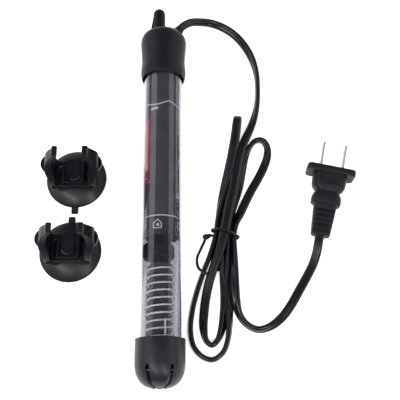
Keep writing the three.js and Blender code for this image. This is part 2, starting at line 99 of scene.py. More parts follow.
def linear(code):
    """An sRGB colour such as "2a2a2e" as linear RGBA."""
    channels = [int(code[i : i + 2], 16) / 255 for i in (0, 2, 4)]
    return [c / 12.92 if c < 0.04045 else ((c + 0.055) / 1.055) ** 2.4 for c in channels] + [1]


NOISE_RANGE = (0.35, 0.65)
MOTTLE_SCALE = 90


class Look:
    """A Principled material whose colour, roughness and bump come from noise in object space."""

    def __init__(self, name, base, other, roughness, **sockets):
        self.material = bpy.data.materials.new(name)
        self.material.use_nodes = True
        self.tree = self.material.node_tree
        self.shader = self.tree.nodes["Principled BSDF"]
        self.place = self.add("ShaderNodeTexCoord").outputs["Object"]
        self.shader.inputs["Roughness"].default_value = roughness
        for socket, value in sockets.items():
            self.shader.inputs[socket.replace("_", " ")].default_value = value
        self.shader.inputs["Base Color"].default_value = linear(base)
        self.mottle(base, other)

    def add(self, kind, **settings):
        node = self.tree.nodes.new(kind)
        for key, value in settings.items():
            setattr(node, key, value)
        return node

    def link(self, source, target):
        self.tree.links.new(source, target)

    def noise(self, scale, detail, stretch=(1, 1, 1)):
        mapping = self.add("ShaderNodeMapping")
        mapping.inputs["Scale"].default_value = stretch
        self.link(self.place, mapping.inputs["Vector"])
        noise = self.add("ShaderNodeTexNoise")
        noise.inputs["Scale"].default_value = scale
        noise.inputs["Detail"].default_value = detail
        self.link(mapping.outputs[0], noise.inputs["Vector"])
        return noise.outputs["Fac"]

    def ramp(self, source, low, high):
        """Spreads the noise, which mostly stays near its middle, between two values."""
        spread = self.add("ShaderNodeMapRange")
        for socket, value in zip(("From Min", "From Max", "To Min", "To Max"), (*NOISE_RANGE, low, high)):
            spread.inputs[socket].default_value = value
        self.link(source, spread.inputs["Value"])
        return spread.outputs[0]

    def mottle(self, base, other):
        """Colour that wanders between two shades."""
        mix = self.add("ShaderNodeMix", data_type="RGBA")
        mix.inputs["A"].default_value = linear(base)
        mix.inputs["B"].default_value = linear(other)
        self.link(self.ramp(self.noise(MOTTLE_SCALE, 3), 0, 1), mix.inputs["Factor"])
        self.link(mix.outputs["Result"], self.shader.inputs["Base Color"])

    def wear(self, low, high, scale=160, stretch=(1, 1, 1)):
        """Roughness that wanders between two values."""
        self.link(self.ramp(self.noise(scale, 4, stretch), low, high), self.shader.inputs["Roughness"])
        return self

    def grain(self, scale, depth_mm, strength=0.4, stretch=(1, 1, 1)):
        """Fine bump on top of the modelled shape."""
        bump = self.add("ShaderNodeBump")
        bump.inputs["Distance"].default_value = depth_mm * MM
        bump.inputs["Strength"].default_value = strength
        self.link(self.noise(scale, 5, stretch), bump.inputs["Height"])
        self.link(bump.outputs[0], self.shader.inputs["Normal"])
        return self


def glass_look():
    """Clear glass whose shadow rays pass, so that what is inside stays lit; its grey tint is partly painted
    shade that darkens the floor seen through the tube.
    """
    look = Look("clear_glass", "bcbcc3", "c2c2c9", 0.02, Transmission_Weight=1.0, IOR=1.45)
    path = look.add("ShaderNodeLightPath")
    clear = look.add("ShaderNodeBsdfTransparent")
    clear.inputs["Color"].default_value = (0.86, 0.86, 0.88, 1)
    mix = look.add("ShaderNodeMixShader")
    look.link(path.outputs["Is Shadow Ray"], mix.inputs[0])
    look.link(look.shader.outputs[0], mix.inputs[1])
    look.link(clear.outputs[0], mix.inputs[2])
    look.link(mix.outputs[0], look.tree.nodes["Material Output"].inputs["Surface"])
    return look.material


FLOOR_GLOW = 0.7  # the floor lights itself so that it shows as white


def looks():
    """Every material by slot name, with a few more for prints, the plug and the floor."""
    return {
        "glass": glass_look(),
        "lamp_glass": Look("lamp_glass", "f0c8a0", "d89a70", 0.08, Alpha=0.45).material,
        "cap_rubber": Look("cap_rubber", "131118", "18161e", 0.44, Specular_IOR_Level=0.2)
        .wear(0.38, 0.54).grain(1500, 0.04, 0.25).material,
        "black_plastic": Look("black_plastic", "0d0b12", "121018", 0.36, Specular_IOR_Level=0.2)
        .wear(0.28, 0.42).grain(2200, 0.03, 0.2).material,
        "guard_plastic": Look("guard_plastic", "18161d", "1e1c24", 0.34, Specular_IOR_Level=0.3)
        .wear(0.32, 0.42).grain(1900, 0.03, 0.2).material,
        "cup_rubber": Look("cup_rubber", "131119", "18161f", 0.32, Specular_IOR_Level=0.32)
        .wear(0.28, 0.42, 120).grain(900, 0.03, 0.2).material,
        "cord_sheath": Look("cord_sheath", "0a090f", "100e16", 0.2, Specular_IOR_Level=0.38)
        .wear(0.16, 0.26, 220).grain(1600, 0.02, 0.15).material,
        "plug_rubber": Look("plug_rubber", "100e15", "17151d", 0.5, Specular_IOR_Level=0.24)
        .wear(0.44, 0.58).grain(1300, 0.05, 0.3).material,
        "tie_sheath": Look("tie_sheath", "0c0b0e", "131216", 0.4, Specular_IOR_Level=0.25)
        .wear(0.34, 0.48).grain(2400, 0.03, 0.2).material,
        "printed_sleeve": Look("printed_sleeve", "39383d", "403f45", 0.5).wear(0.4, 0.6)
        .grain(2600, 0.02, 0.3).material,
        "print_band": Look("print_band", "1d1c20", "29282d", 0.5).grain(2600, 0.02, 0.4).material,
        "print_white": Look("print_white", "d9d8dc", "c6c5ca", 0.5).grain(3000, 0.01).material,
        "print_red": Look("print_red", "a8282a", "bb3b3c", 0.5).grain(3000, 0.01).material,
        "ceramic": Look("ceramic", "2e2d30", "3f3e42", 0.62).wear(0.5, 0.75)
        .grain(1200, 0.02, 0.2).material,
        "bright_wire": Look("bright_wire", "f4f3f0", "e4e3e0", 0.4, Metallic=0.2)
        .wear(0.34, 0.46, 300).grain(900, 0.01, 0.1).material,
        "nickel": Look("nickel", "dedddb", "cbcac8", 0.34, Metallic=0.7).wear(0.2, 0.4, 200, (1, 0.15, 1))
        .grain(1400, 0.02, 0.25, (1, 0.1, 1)).material,
        "brass": Look("brass", "c8a450", "b89040", 0.35, Metallic=1.0).wear(0.25, 0.45)
        .grain(1400, 0.02, 0.25).material,
        "board": Look("board", "b9ad8c", "a99d78", 0.6).grain(800, 0.05, 0.4, (1, 0.2, 1)).material,
        "lead_sheath": Look("lead_sheath", "8a2f26", "7a251e", 0.5).grain(1500, 0.04).material,
        "floor": Look("floor", "f6f6f6", "ffffff", 0.9, Emission_Strength=FLOOR_GLOW,
                      Emission_Color=(1, 1, 1, 1)).grain(300, 0.02, 0.05).material,
    }


LOOKS = looks()


# ---------------------------------------------------------------- shapes

def arc(x, y, r, start, end, steps):
    """Points on a circle from one angle to another, in degrees."""
    angles = [radians(start + (end - start) * i / steps) for i in range(steps + 1)]
    return [(x + r * cos(a), y + r * sin(a)) for a in angles]


def loft(rings, loop=False):
    """Joins rings of equal length with faces; a ring of one point is a pole.

    With loop the last ring joins the first; without it both ends are capped.
    """
    vertices = [tuple(p) for ring in rings for p in ring]
    starts = [sum(len(r) for r in rings[:i]) for i in range(len(rings))]
    faces = []
    count = len(rings) if loop else len(rings) - 1
    for j in range(count):
        a, b = j, (j + 1) % len(rings)
        size = max(len(rings[a]), len(rings[b]))
        if size == 1:
            continue
        for i in range(size):
            k = (i + 1) % size
            corners = [
                starts[a] + i % len(rings[a]),
                starts[a] + k % len(rings[a]),
                starts[b] + k % len(rings[b]),
                starts[b] + i % len(rings[b]),
            ]
            faces.append(list(dict.fromkeys(corners)))
    if not loop:
        for j in (0, -1):
            if len(rings[j]) > 2:
                start = starts[j]
                faces.append(list(range(start, start + len(rings[j]))))
    return vertices, faces


def lathe(outline, x=AXIS_X, z=AXIS_Z, segments=128):
    """A closed outline of (radius, y) turned about an axis parallel to Y."""
    rings = []
    for r, y in outline:
        turns = 1 if r == 0 else segments
        angles = [2 * pi * i / segments for i in range(turns)]
        rings.append([(x + r * sin(a), y, z + r * cos(a)) for a in angles])
    return loft(rings, loop=True)


def sweep(path, section, wide):
    """A section of (across, up) points carried along path; wide gives each ring's across axis."""
    rings = []
    for i, point in enumerate(path):
        ahead = path[min(i + 1, len(path) - 1)] - path[max(i - 1, 0)]
        across = wide[i] - ahead * (wide[i].dot(ahead) / ahead.length_squared)
        across.normalize()
        up = ahead.normalized().cross(across)
        rings.append([point + across * u + up * v for u, v in section])
    return loft(rings)


def spline(points, spacing):
    """Evenly spaced points on a centripetal Catmull-Rom curve, with any fourth values carried along."""
    points = [Vector(p) for p in points]
    dense = []
    for i in range(len(points) - 1):
        p1, p2 = points[i], points[i + 1]
        p0 = points[i - 1] if i else p1 * 2 - p2
        p3 = points[i + 2] if i + 2 < len(points) else p2 * 2 - p1
        d0, d1, d2 = [sqrt((b.xyz - a.xyz).length) for a, b in ((p0, p1), (p1, p2), (p2, p3))]
        out = ((p1 - p0) / d0 - (p2 - p0) / (d0 + d1) + (p2 - p1) / d1) * d1
        back = ((p2 - p1) / d1 - (p3 - p1) / (d1 + d2) + (p3 - p2) / d2) * d1
        for k in range(24):
            t = k / 24
            bend = p1 * -3 + p2 * 3 - out * 2 - back
            close = p1 * 2 - p2 * 2 + out + back
            dense.append(p1 + out * t + bend * t**2 + close * t**3)
    dense.append(points[-1])
    lengths = [0]
    for a, b in zip(dense, dense[1:]):
        lengths.append(lengths[-1] + (b.xyz - a.xyz).length)
    count = max(2, round(lengths[-1] / spacing))
    result, j = [], 0
    for i in range(count + 1):
        want = lengths[-1] * i / count
        while j < len(lengths) - 2 and lengths[j + 1] < want:
            j += 1
        t = (want - lengths[j]) / (lengths[j + 1] - lengths[j])
        result.append(dense[j].lerp(dense[j + 1], min(1, t)))
    return result


def circle(radius, sides):
    return [(radius * cos(2 * pi * i / sides), radius * sin(2 * pi * i / sides)) for i in range(sides)]


def wire(points, radius):
    """A round wire along given points."""
    path = [p.xyz for p in spline(points, 0.6)]
    return sweep(path, circle(radius, 14), steady_axes(path))


def steady_axes(path):
    """A sideways axis for each point that turns as little as it can along the path."""
    axis = Vector((0, 0, 1))
    axes = []
    for i in range(len(path)):
        ahead = (path[min(i + 1, len(path) - 1)] - path[max(i - 1, 0)]).normalized()
        if abs(ahead.dot(axis)) > 0.95:
            axis = ahead.orthogonal()
        axis = (axis - ahead * axis.dot(ahead)).normalized()
        axes.append(axis.copy())
    return axes


def prism(outline, y0, y1):
    """An outline of (x, z) points drawn out along Y."""
    return loft([[(x, y, z) for x, z in outline] for y in (y0, y1)])


def flat(outline, z0, z1):
    """An outline of (x, y) points drawn up from z0 to z1."""
    return loft([[(x, y, z) for x, y in outline] for z in (z0, z1)])


def pad(width, height, radius, y, x=0, z=0, steps=5):
    """A ring in a plane of constant y: a rectangle with round corners."""
    w, h = width / 2 - radius, height / 2 - radius
    points = [
        *arc(w, h, radius, 0, 90, steps),
        *arc(-w, h, radius, 90, 180, steps),
        *arc(-w, -h, radius, 180, 270, steps),
        *arc(w, -h, radius, 270, 360, steps),
    ]
    return [(x + a, y, z + b) for a, b in points]


def box(width, length, height, x, y, z):
    """A block by its sizes along X, Y and Z and its centre."""
    w, l, h = width / 2, length / 2, height / 2
    corners = [(-w, -h), (w, -h), (w, h), (-w, h)]
    return loft([[(x + a, y + side * l, z + b) for a, b in corners] for side in (-1, 1)])


def moved(shape, matrix):
    vertices, faces = shape
    return [tuple(matrix @ Vector(v)) for v in vertices], faces


def combined(*shapes):
    vertices, faces = [], []
    for more_vertices, more_faces in shapes:
        start = len(vertices)
        vertices.extend(more_vertices)
        faces.extend([start + i for i in face] for face in more_faces)
    return vertices, faces


CRISP = 38  # edges that turn by more than this many degrees are sharp


def soften(made, width, segments=3, angle=CRISP):
    """Rounds an object's sharp edges and returns the object."""
    edge = made.modifiers.new("edges", "BEVEL")
    edge.width = width * MM
    edge.segments = segments
    edge.limit_method = "ANGLE"
    edge.angle_limit = radians(angle)
    return made


def build(name, shape, look, sharp=CRISP, bevel=0):
    """Makes an object, in metres, from a shape in millimetres."""
    vertices, faces = shape
    mesh = bpy.data.meshes.new(name)
    mesh.from_pydata([[c * MM for c in v] for v in vertices], [], faces)
    fresh = bmesh.new()
    fresh.from_mesh(mesh)
    bmesh.ops.recalc_face_normals(fresh, faces=fresh.faces)
    fresh.to_mesh(mesh)
    fresh.free()
    mesh.materials.append(LOOKS[look])
    mesh.shade_smooth()
    made = bpy.data.objects.new(name, mesh)
    bpy.context.collection.objects.link(made)
    if bevel:
        soften(made, bevel, angle=sharp).modifiers["edges"].harden_normals = True
    mesh.set_sharp_from_angle(angle=radians(sharp))
    return made


def carve(made, *tools):
    """Cuts shapes out of an object and keeps the result as its mesh."""
    for tool in tools:
        cutter = build("cutter", tool, "black_plastic")
        step = made.modifiers.new("cut", "BOOLEAN")
        step.object = cutter
        step.solver = "EXACT"
        bpy.context.view_layer.update()
        done = made.evaluated_get(bpy.context.evaluated_depsgraph_get())
        mesh = bpy.data.meshes.new_from_object(done)
        made.modifiers.clear()
        made.data = mesh
        bpy.data.objects.remove(cutter)
    return made


def piece(made, body, slot, *nodes):
    """Says which body the object moves with and hides the CAD nodes it stands for; slot is not used."""
    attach(made, body)
    if nodes:
        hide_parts(*nodes)
    return made


# ---------------------------------------------------------------- cord, tie and plug

# (x, y, z, tilt) along the middle of the cord; the flat cord lies down at tilt 0 and stands on edge at 90
CORD_ROUTE = [
    # out of the cap and round to the bundle
    (38.1, 101.6, 12.3, 60),
    (40.7, 104.7, 11.9, 60),
    (45.2, 108.2, 10.2, 60),
    (51.2, 110.3, 7.5, 60),
    (58, 111, 5, 50),
    (65.1, 109.1, 3.4, 40),
    (72.1, 104.6, 2.5, 40),
    (78, 97.5, 2.3, 45),
    (82.9, 87.8, 2.4, 55),
    (85.8, 76.2, 2.6, 75),
    (86.3, 64.2, 2.6, 85),
    (85.3, 53.1, 2.6, 70),
    (82.8, 43, 2.4, 40),
    (79.9, 35.2, 3.4, 20),
    (76.4, 27.1, 5.6, 10),
    (73.3, 18.2, 6.9, 0),
    (71.1, 7.8, 7.2, 0),
    (68.9, -3.5, 7.3, 0),
    (66.5, -13.9, 7.3, 0),
    (64.7, -22.9, 7.2, 0),
    (63, -31.2, 7, 0),
    # inner lower loop
    (60.2, -41.4, 5.8, 0),
    (56.1, -52.4, 4, 0),
    (53.2, -63.4, 2.2, 0),
    (51.6, -74.5, 2, 10),
    (51.3, -82.5, 2.2, 40),
    (52.8, -89.2, 2.5, 80),
    (55.8, -91.5, 2.6, 90),
    (58.7, -89.1, 2.6, 80),
    (61.2, -83.3, 2.4, 50),
    (62.7, -75, 1.9, 20),
    (63.3, -65.3, 1.8, 5),
    (63, -53.7, 1.8, 20),
    (62.6, -43.7, 2.4, 60),
    (62.5, -28.7, 2.6, 90),
    # narrow fold that stands on its edge
    (64.5, -17.8, 2.4, 60),
    (67, -4.1, 1.8, 10),
    (69.4, 12.5, 1.8, 0),
    (71.4, 28.8, 1.8, 0),
    (72.6, 37.3, 2.4, 0),
    (73.1, 41.9, 5, 0),
    (73, 42.1, 8.4, 0),
    (72.3, 37.9, 11, 0),
    (70.8, 27.8, 11.6, 0),
    (68.2, 14.5, 9.2, 0),
    (65.1, 1.7, 6.2, 20),
    (61.8, -10.9, 3.6, 60),
    (60, -20.9, 2.7, 90),
    (59, -28.7, 2.6, 90),
    # outer lower loop
    (56.2, -38.8, 2.6, 90),
    (51.8, -50.4, 2.6, 80),
    (47.7, -62.3, 2.6, 75),
    (45, -73.4, 2.6, 75),
    (44.1, -84, 2.6, 80),
    (46, -92.4, 2.6, 85),
    (50.9, -97.8, 2.6, 90),
    (56.3, -99.2, 2.6, 90),
    (61.6, -95.6, 2.6, 85),
    (64.6, -88.3, 2.6, 80),
    (65.5, -79.1, 2.4, 60),
    (65.5, -69, 1.8, 20),
    (65.5, -58.3, 1.8, 10),
    (65.6, -45.7, 2.4, 50),
    (66, -28.8, 2.6, 90),
    # right-hand loop
    (67.9, -19.1, 2.6, 80),
    (70.6, -9.3, 2.4, 60),
    (73.2, 0.1, 2, 40),
    (75, 9.7, 2, 30),
    (77.1, 18.6, 2.2, 50),
    (80.1, 25.4, 2.6, 80),
    (83.6, 29.3, 2.8, 90),
    (87.4, 29.7, 2.8, 85),
    (90.2, 26.3, 2.7, 70),
    (90.5, 19.9, 2.3, 40),
    (88, 12.4, 1.8, 5),
    (84.4, 5.2, 1.8, 0),
    (80.4, -1.7, 1.8, 0),
    (76.6, -9.2, 1.9, 0),
    (73.5, -16, 2.2, 20),
    (70.8, -22.5, 2.6, 70),
    (69.5, -29.4, 2.6, 90),
    # from the bundle to the plug
    (69.2, -39.6, 3, 70),
    (68.9, -50.4, 4, 30),
    (69, -60.2, 4.4, 10),
    (69.5, -68.4, 3.8, 30),
    (71, -74.7, 2.6, 60),
    (74.9, -80.3, 2.4, 70),
    (81.1, -83.3, 2.4, 70),
    (87.8, -81.7, 2.2, 50),
    (94.3, -76.9, 1.8, 25),
    (99.9, -69.9, 1.8, 10),
    (104.9, -61.8, 1.8, 0),
    (110.2, -53, 1.8, 0),
    (113.5, -46.9, 2.1, 10),
    (115.6, -41.1, 3.5, 10),
    (116.8, -35.6, 5.1, 0),
    (117.6, -31.8, 5.6, 0),
]
CORD_WIDTH = 5.2
CORD_THICKNESS = 3.1
STEEP = 0.45  # cosine of the steepest climb at which the cord's sideways axis is worked out afresh


def cord_section():
    """A flat two-core sheath: an oval with a shallow groove down each face."""
    points = []
    for i in range(32):
        a = 2 * pi * i / 32
        across = CORD_WIDTH / 2 * cos(a)
        groove = 1 - 0.2 * exp(-((across / 0.55) ** 2))
        up = CORD_THICKNESS / 2 * abs(sin(a)) ** 0.72 * groove
        points.append((across, up if a < pi else -up))
    return points


def make_cord():
    """The cord, its middle line in metres and its length in metres."""
    route = spline(CORD_ROUTE, 1.0)
    path = [p.xyz for p in route]
    wide = []
    lying = Vector((1, 0, 0))
    for i, point in enumerate(route):
        ahead = (path[min(i + 1, len(path) - 1)] - path[max(i - 1, 0)]).normalized()
        level = ahead.cross(Vector((0, 0, 1)))
        if level.length > STEEP:
            level.normalize()
            lying = level if level.dot(lying) > 0 else -level
        side = (lying - ahead * lying.dot(ahead)).normalized()
        wide.append(Matrix.Rotation(radians(point.w), 3, ahead) @ side)
    for _ in range(4):  # evens out the twist
        wide = [
            (wide[max(i - 1, 0)] + wide[i] * 2 + wide[min(i + 1, len(wide) - 1)]).normalized()
            for i in range(len(wide))
        ]
    made = build("mains_cord_sheath", sweep(path, cord_section(), wide), "cord_sheath", 60)
    length = sum((b - a).length for a, b in zip(path, path[1:]))
    return made, [p * MM for p in path], length * MM


def make_tie():
    """A covered wire once round the bundle, knotted at both sides, with one end left as a tail."""
    turn = [
        (57.4, -26.9, 3.4),
        (58.4, -27.1, 6.2),
        (60.6, -27.5, 9),
        (64.0, -28.5, 9.9),
        (67.6, -29.4, 8.4),
        (70.1, -30.6, 5),
        (71.2, -31.4, 3),
        (70.6, -31.6, 1.2),
        (68.0, -31.2, 0.7),
        (59.4, -29.6, 0.7),
        (57.2, -29.4, 1.6),
        (56.4, -29.6, 2.8),
        (54.6, -30.2, 3.2),
        (53.0, -30.6, 3.2),
    ]
    tail = [
        (53.0, -30.8, 3.2),
        (52.3, -33.1, 3.0),
        (50.1, -38.0, 3.4),
        (48.0, -43.6, 4.0),
        (48.9, -49.2, 5.0),
        (52.1, -51.9, 5.8),
        (54.2, -53.0, 6.0),
    ]
    knots = [
        ((57.7, -26.9, 3.8), 1.6),
        ((53.3, -30.5, 3.2), 1.9),
        ((54.9, -29.9, 3.3), 1.4),
        ((70.7, -31.0, 3.9), 1.7),
    ]
    squash = Matrix.Diagonal((1.1, 0.85, 1, 1))
    beads = []
    for centre, r in knots:
        bead = lathe([(0, -r), *arc(0, 0, r, -80, 80, 12), (0, r)], 0, 0, 24)
        beads.append(moved(bead, Matrix.Translation(centre) @ squash))
    return build("wire_tie_wound", combined(wire(turn, 0.66), wire(tail, 0.8), *beads), "tie_sheath", 60)


def plug_frame():
    """The plug's own frame in the row frame, from the CAD mount on its face."""
    mount = next(m for m in frame["record"]["mounts"] if m["name"] == "plug_face")
    ahead = Vector(mount["axis"]).normalized()
    across = ahead.cross(Vector((0, 0, 1))).normalized()
    up = across.cross(ahead)
    turn = Matrix((across, ahead, up)).transposed().to_4x4()
    return Matrix.Translation(Vector(mount["pos_m"]) / MM) @ turn


def on_plug(made):
    """Carries a mesh drawn in the plug's frame, face at y = 0 and blades ahead, to its place."""
    made.data.transform(Matrix.Scale(MM, 4) @ plug_frame() @ Matrix.Scale(1 / MM, 4))
    return made


def plug_rings(stations):
    """Lofts round-cornered sections; each station is (y, width, height)."""
    return loft([pad(w, h, min(w, h) * 0.38, y, steps=8) for y, w, h in stations])


BLADE_X = 12.7 / 2
RIBS = 5
RIB_PITCH = 2.9


def make_plug():
    """The flanged head, the shell with its collar, and the ribbed strain relief."""
    flange = loft([
        pad(25.6, 11.8, 1.8, -4, steps=6),
        pad(27.4, 13.4, 2.4, -3.9, steps=6),
        pad(28, 14, 2.6, -3.3, steps=6),
        pad(28, 14, 2.6, -0.7, steps=6),
        pad(27.4, 13.4, 2.4, -0.1, steps=6),
        pad(25.6, 11.8, 1.8, 0, steps=6),
    ])
    shell = plug_rings([
        (-14.9, 13.4, 9.2), (-14.4, 13.8, 9.6), (-13.6, 15.4, 10.2), (-12.4, 17.6, 10.9),
        (-11, 18.9, 11.4), (-9, 19.4, 11.8), (-6, 19.6, 12), (-3.8, 19.6, 12.2),
    ])
    panel = loft([pad(11.4, 1.4, 0.5, y, 0.6, 5.9, 3) for y in (-10.4, -4.2)])
    collar = plug_rings([
        (-22.6, 13, 10), (-22.4, 15.6, 10.4), (-21.8, 16.8, 10.9), (-19, 17, 11),
        (-17.2, 16.4, 10.8), (-15.6, 14.6, 10), (-14.6, 13.6, 9.5),
    ])
    relief = plug_rings([(-41, 9.6, 7), (-40.7, 10.4, 7.8), (-40, 10.8, 8.2), (-36, 11.4, 8.6),
                         (-28, 12.5, 9.4), (-22.2, 13.2, 9.8)])
    grooves = [box(12.6, 1.7, 3.6, 1.8, -26.8 - RIB_PITCH * i, side * 4.6)
               for i in range(RIBS) for side in (-1, 1)]
    pockets = [box(2.1, 6, 6.9, side * BLADE_X, -2, 0) for side in (-1, 1)]
    ribbed = carve(build("plug_relief_ribbed", relief, "plug_rubber"), *grooves)
    head = carve(build("plug_head", flange, "plug_rubber"), *pockets)
    trunk = build("plug_trunk", combined(shell, collar, panel), "plug_rubber")
    return [on_plug(head), on_plug(trunk), on_plug(soften(ribbed, 0.25, 2, 30))]


def make_blades():
    """Two flat blades, each with a hole near its tip."""
    made = []
    for side, name in ((-1, "left"), (1, "right")):
        x = side * BLADE_X
        blade = loft([
            pad(1.5, 6.3, 0.3, -5.6, x, steps=2),
            pad(1.5, 6.3, 0.3, 14.6, x, steps=2),
            pad(1.4, 5.7, 0.3, 15.5, x, steps=2),
            pad(1.1, 4.9, 0.3, 16, x, steps=2),
        ])
        sideways = Matrix.Translation((x, 11.6, 0)) @ Matrix.Rotation(pi / 2, 4, "Z")
        hole = moved(prism(circle(1.6, 24), -3, 3), sideways)
        made.append(on_plug(carve(build("blade_" + name, blade, "nickel", 30), hole)))
    return made


cord, cord_path, cord_length = make_cord()
piece(cord, "heater", "cord_sheath", "mains_cord")
tie = piece(make_tie(), "heater", "tie_sheath", "wire_tie")
plug = make_plug()
for part in plug:
    piece(part, "heater", "cord_sheath", "plug_body")
blades = make_blades()
piece(blades[0], "heater", "nickel", "plug_blade_left")
piece(blades[1], "heater", "nickel", "plug_blade_right")


# ---------------------------------------------------------------- heater

def make_glass():
    """A tube with a closed round end, open inside the cap."""
    bottom, top, wall, rounding = -108, 84, 0.9, 9
    r, y = GLASS_R - rounding, bottom + rounding
    outline = [
        (0, bottom),
        *arc(r, y, rounding, -90, 0, 16),
        (GLASS_R, top),
        (GLASS_R - wall, top),
        *arc(r, y, rounding - wall, 0, -90, 16),
        (0, bottom + wall),
    ]
    return build("glass_envelope", lathe(outline), "glass", 50)


def make_cap():
    """The domed rubber cap with its waist, soft lip and faint ribs, bored for the knob's spindle."""
    top, shoulder, bore_r = 97, 6.6, 2.15
    outline = [
        (0, top),
        *arc(CAP_R - shoulder, top - shoulder, shoulder, 90, 0, 14),
        (13.78, 88.6), (13.6, 86), (13.3, 83), (13.06, 80), (12.98, 77.6),
        (12.98, 75.8), (13.08, 74), (13.24, 72.4), (13.38, 70.8), (13.4, 69.6),
        (13.34, 68.2), (13.16, 66.8), (12.9, 65.6), (12.66, 64.95), (12.45, 64.8), (12.2, 65),
        (12.05, 66), (11.9, 68), (11.66, 69.6), (11.6, 70.4), (11.6, 84.6), (0, 84.6),
    ]
    ribs = [lathe([(r - 0.25, y + 0.4), (r + 0.13, y + 0.16), (r + 0.13, y - 0.16), (r - 0.25, y - 0.4)])
            for r, y in ((13.02, 74.7), (13.3, 71.6), (13.4, 69.2))]
    bore = lathe([(0, 84), (bore_r, 84), (bore_r, 98), (0, 98)], KNOB.x, KNOB.z, 48)
    return carve(build("cap_moulded", combined(lathe(outline), *ribs), "cap_rubber", 50), bore)


def make_gland():
    """The boss that the cord leaves by, on the cap's shoulder."""
    start = cord_path[0] / MM
    ahead = (cord_path[2] - cord_path[0]).normalized()
    turn = ahead.to_track_quat("Y", "Z").to_matrix().to_4x4()
    place = Matrix.Translation(start) @ turn
    stations = [(-6.5, 6.2, 6.2), (-3.2, 6.2, 6.2), (-2, 5.9, 5.4), (-0.8, 5.9, 4.6),
                (0.2, 5.8, 4.2), (0.5, 5.4, 3.8)]
    rings = [[(w * a, y, h * b) for a, b in circle(0.5, 48)] for y, w, h in stations]
    return build("gland_boot", moved(loft(rings), place), "cap_rubber", 50)


def make_guard():
    """The end guard: a blunt dome with three slots cut right through and a hole in its end."""
    radius, bore, wall = GUARD_R, 11.6, 1.6
    bottom, dome, rim = -115, -101, -89.5
    power = 2 / 2.5
    slot_width, slot_reach, slot_angle = 2.5, 12, 27.3

    def curve(r, drop):
        angles = [pi / 2 * i / 20 for i in range(20)]
        return [(r * cos(a) ** power, dome - drop * sin(a) ** power) for a in angles]

    outline = [
        (bore + 0.15, rim), (radius - 0.3, rim), (radius - 0.08, rim - 0.1), (radius, rim - 0.4),
        *curve(radius, dome - bottom),
        (0, bottom),
        (0, bottom + wall),
        *reversed(curve(bore, dome - bottom - wall)),
        (bore, rim - 0.3),
    ]
    made = build("guard_slotted", lathe(outline, segments=144), "guard_plastic", 35)
    centre = Matrix.Translation((AXIS_X, -103.6 - slot_reach / 2, AXIS_Z))
    lying = Matrix.Rotation(pi / 2, 4, "X")
    slots = []
    for i in range(3):
        slot = loft([pad(slot_width, slot_reach, slot_width * 0.3, z) for z in (-20, 20)])
        turn = Matrix.Rotation(radians(-slot_angle + 60 * i), 4, "Y")
        slots.append(moved(slot, centre @ turn @ lying))
    hole = lathe([(0, bottom - 2), (2.4, bottom - 2), (2.4, bottom + 4), (0, bottom + 4)], segments=48)
    return carve(made, *slots, hole)


def make_sleeve():
    """The printed sleeve, a thin tube inside the glass."""
    wall = 0.3
    bottom, top = -34.6, 71.5
    outline = [(SLEEVE_R, bottom), (SLEEVE_R, top), (SLEEVE_R - wall, top), (SLEEVE_R - wall, bottom)]
    return build("sleeve_tube", lathe(outline), "printed_sleeve", 50)


def on_sleeve(angle, y, lift):
    """A point just over the sleeve; the angle is in degrees from the top towards +X."""
    a = radians(angle)
    r = SLEEVE_R + lift
    return (AXIS_X + r * sin(a), y, AXIS_Z + r * cos(a))


def printed_line(points, width, closed=False, lift=0.05):
    """A flat stroke on the sleeve through (angle, y) points."""
    degree = radians(1) * SLEEVE_R
    unrolled = [Vector((a * degree, y, 0)) for a, y in points]
    if closed:
        unrolled.append(unrolled[0])
    dense = [a.lerp(b, k / 12) for a, b in zip(unrolled, unrolled[1:]) for k in range(12)] + [unrolled[-1]]
    rings = []
    for i, point in enumerate(dense):
        ahead = dense[min(i + 1, len(dense) - 1)] - dense[max(i - 1, 0)]
        side = Vector((-ahead.y, ahead.x, 0)).normalized() * width / 2
        ends = [point + side, point - side]
        rings.append([on_sleeve(e.x / degree, e.y, lift) for e in ends])
    vertices = [p for ring in rings for p in ring]
    faces = [[2 * i, 2 * i + 1, 2 * i + 3, 2 * i + 2] for i in range(len(rings) - 1)]
    return vertices, faces


def printed_patch(angle0, angle1, y0, y1, lift):
    """A filled rectangle on the sleeve."""
    steps = max(2, round(abs(angle1 - angle0) / 3))
    edge = [angle0 + (angle1 - angle0) * i / steps for i in range(steps + 1)]
    vertices = [on_sleeve(a, y, lift) for y in (y0, y1) for a in edge]
    faces = [[i, i + 1, steps + i + 2, steps + i + 1] for i in range(steps)]
    return vertices, faces


def smooth_print(points):
    """Points on a smooth curve through a few (angle, y) points."""
    degrees = 6  # to the millimetre round the sleeve, near enough for even spacing
    line = spline([(a / degrees, y, 0) for a, y in points], 0.6)
    return [(p.x * degrees, p.y) for p in line]


def ring_print(angle, y, rx, ry):
    """Points round an oval on the sleeve, rx in degrees and ry in millimetres."""
    turns = [2 * pi * i / 20 for i in range(20)]
    return [(angle + rx * cos(t), y + ry * sin(t)) for t in turns]


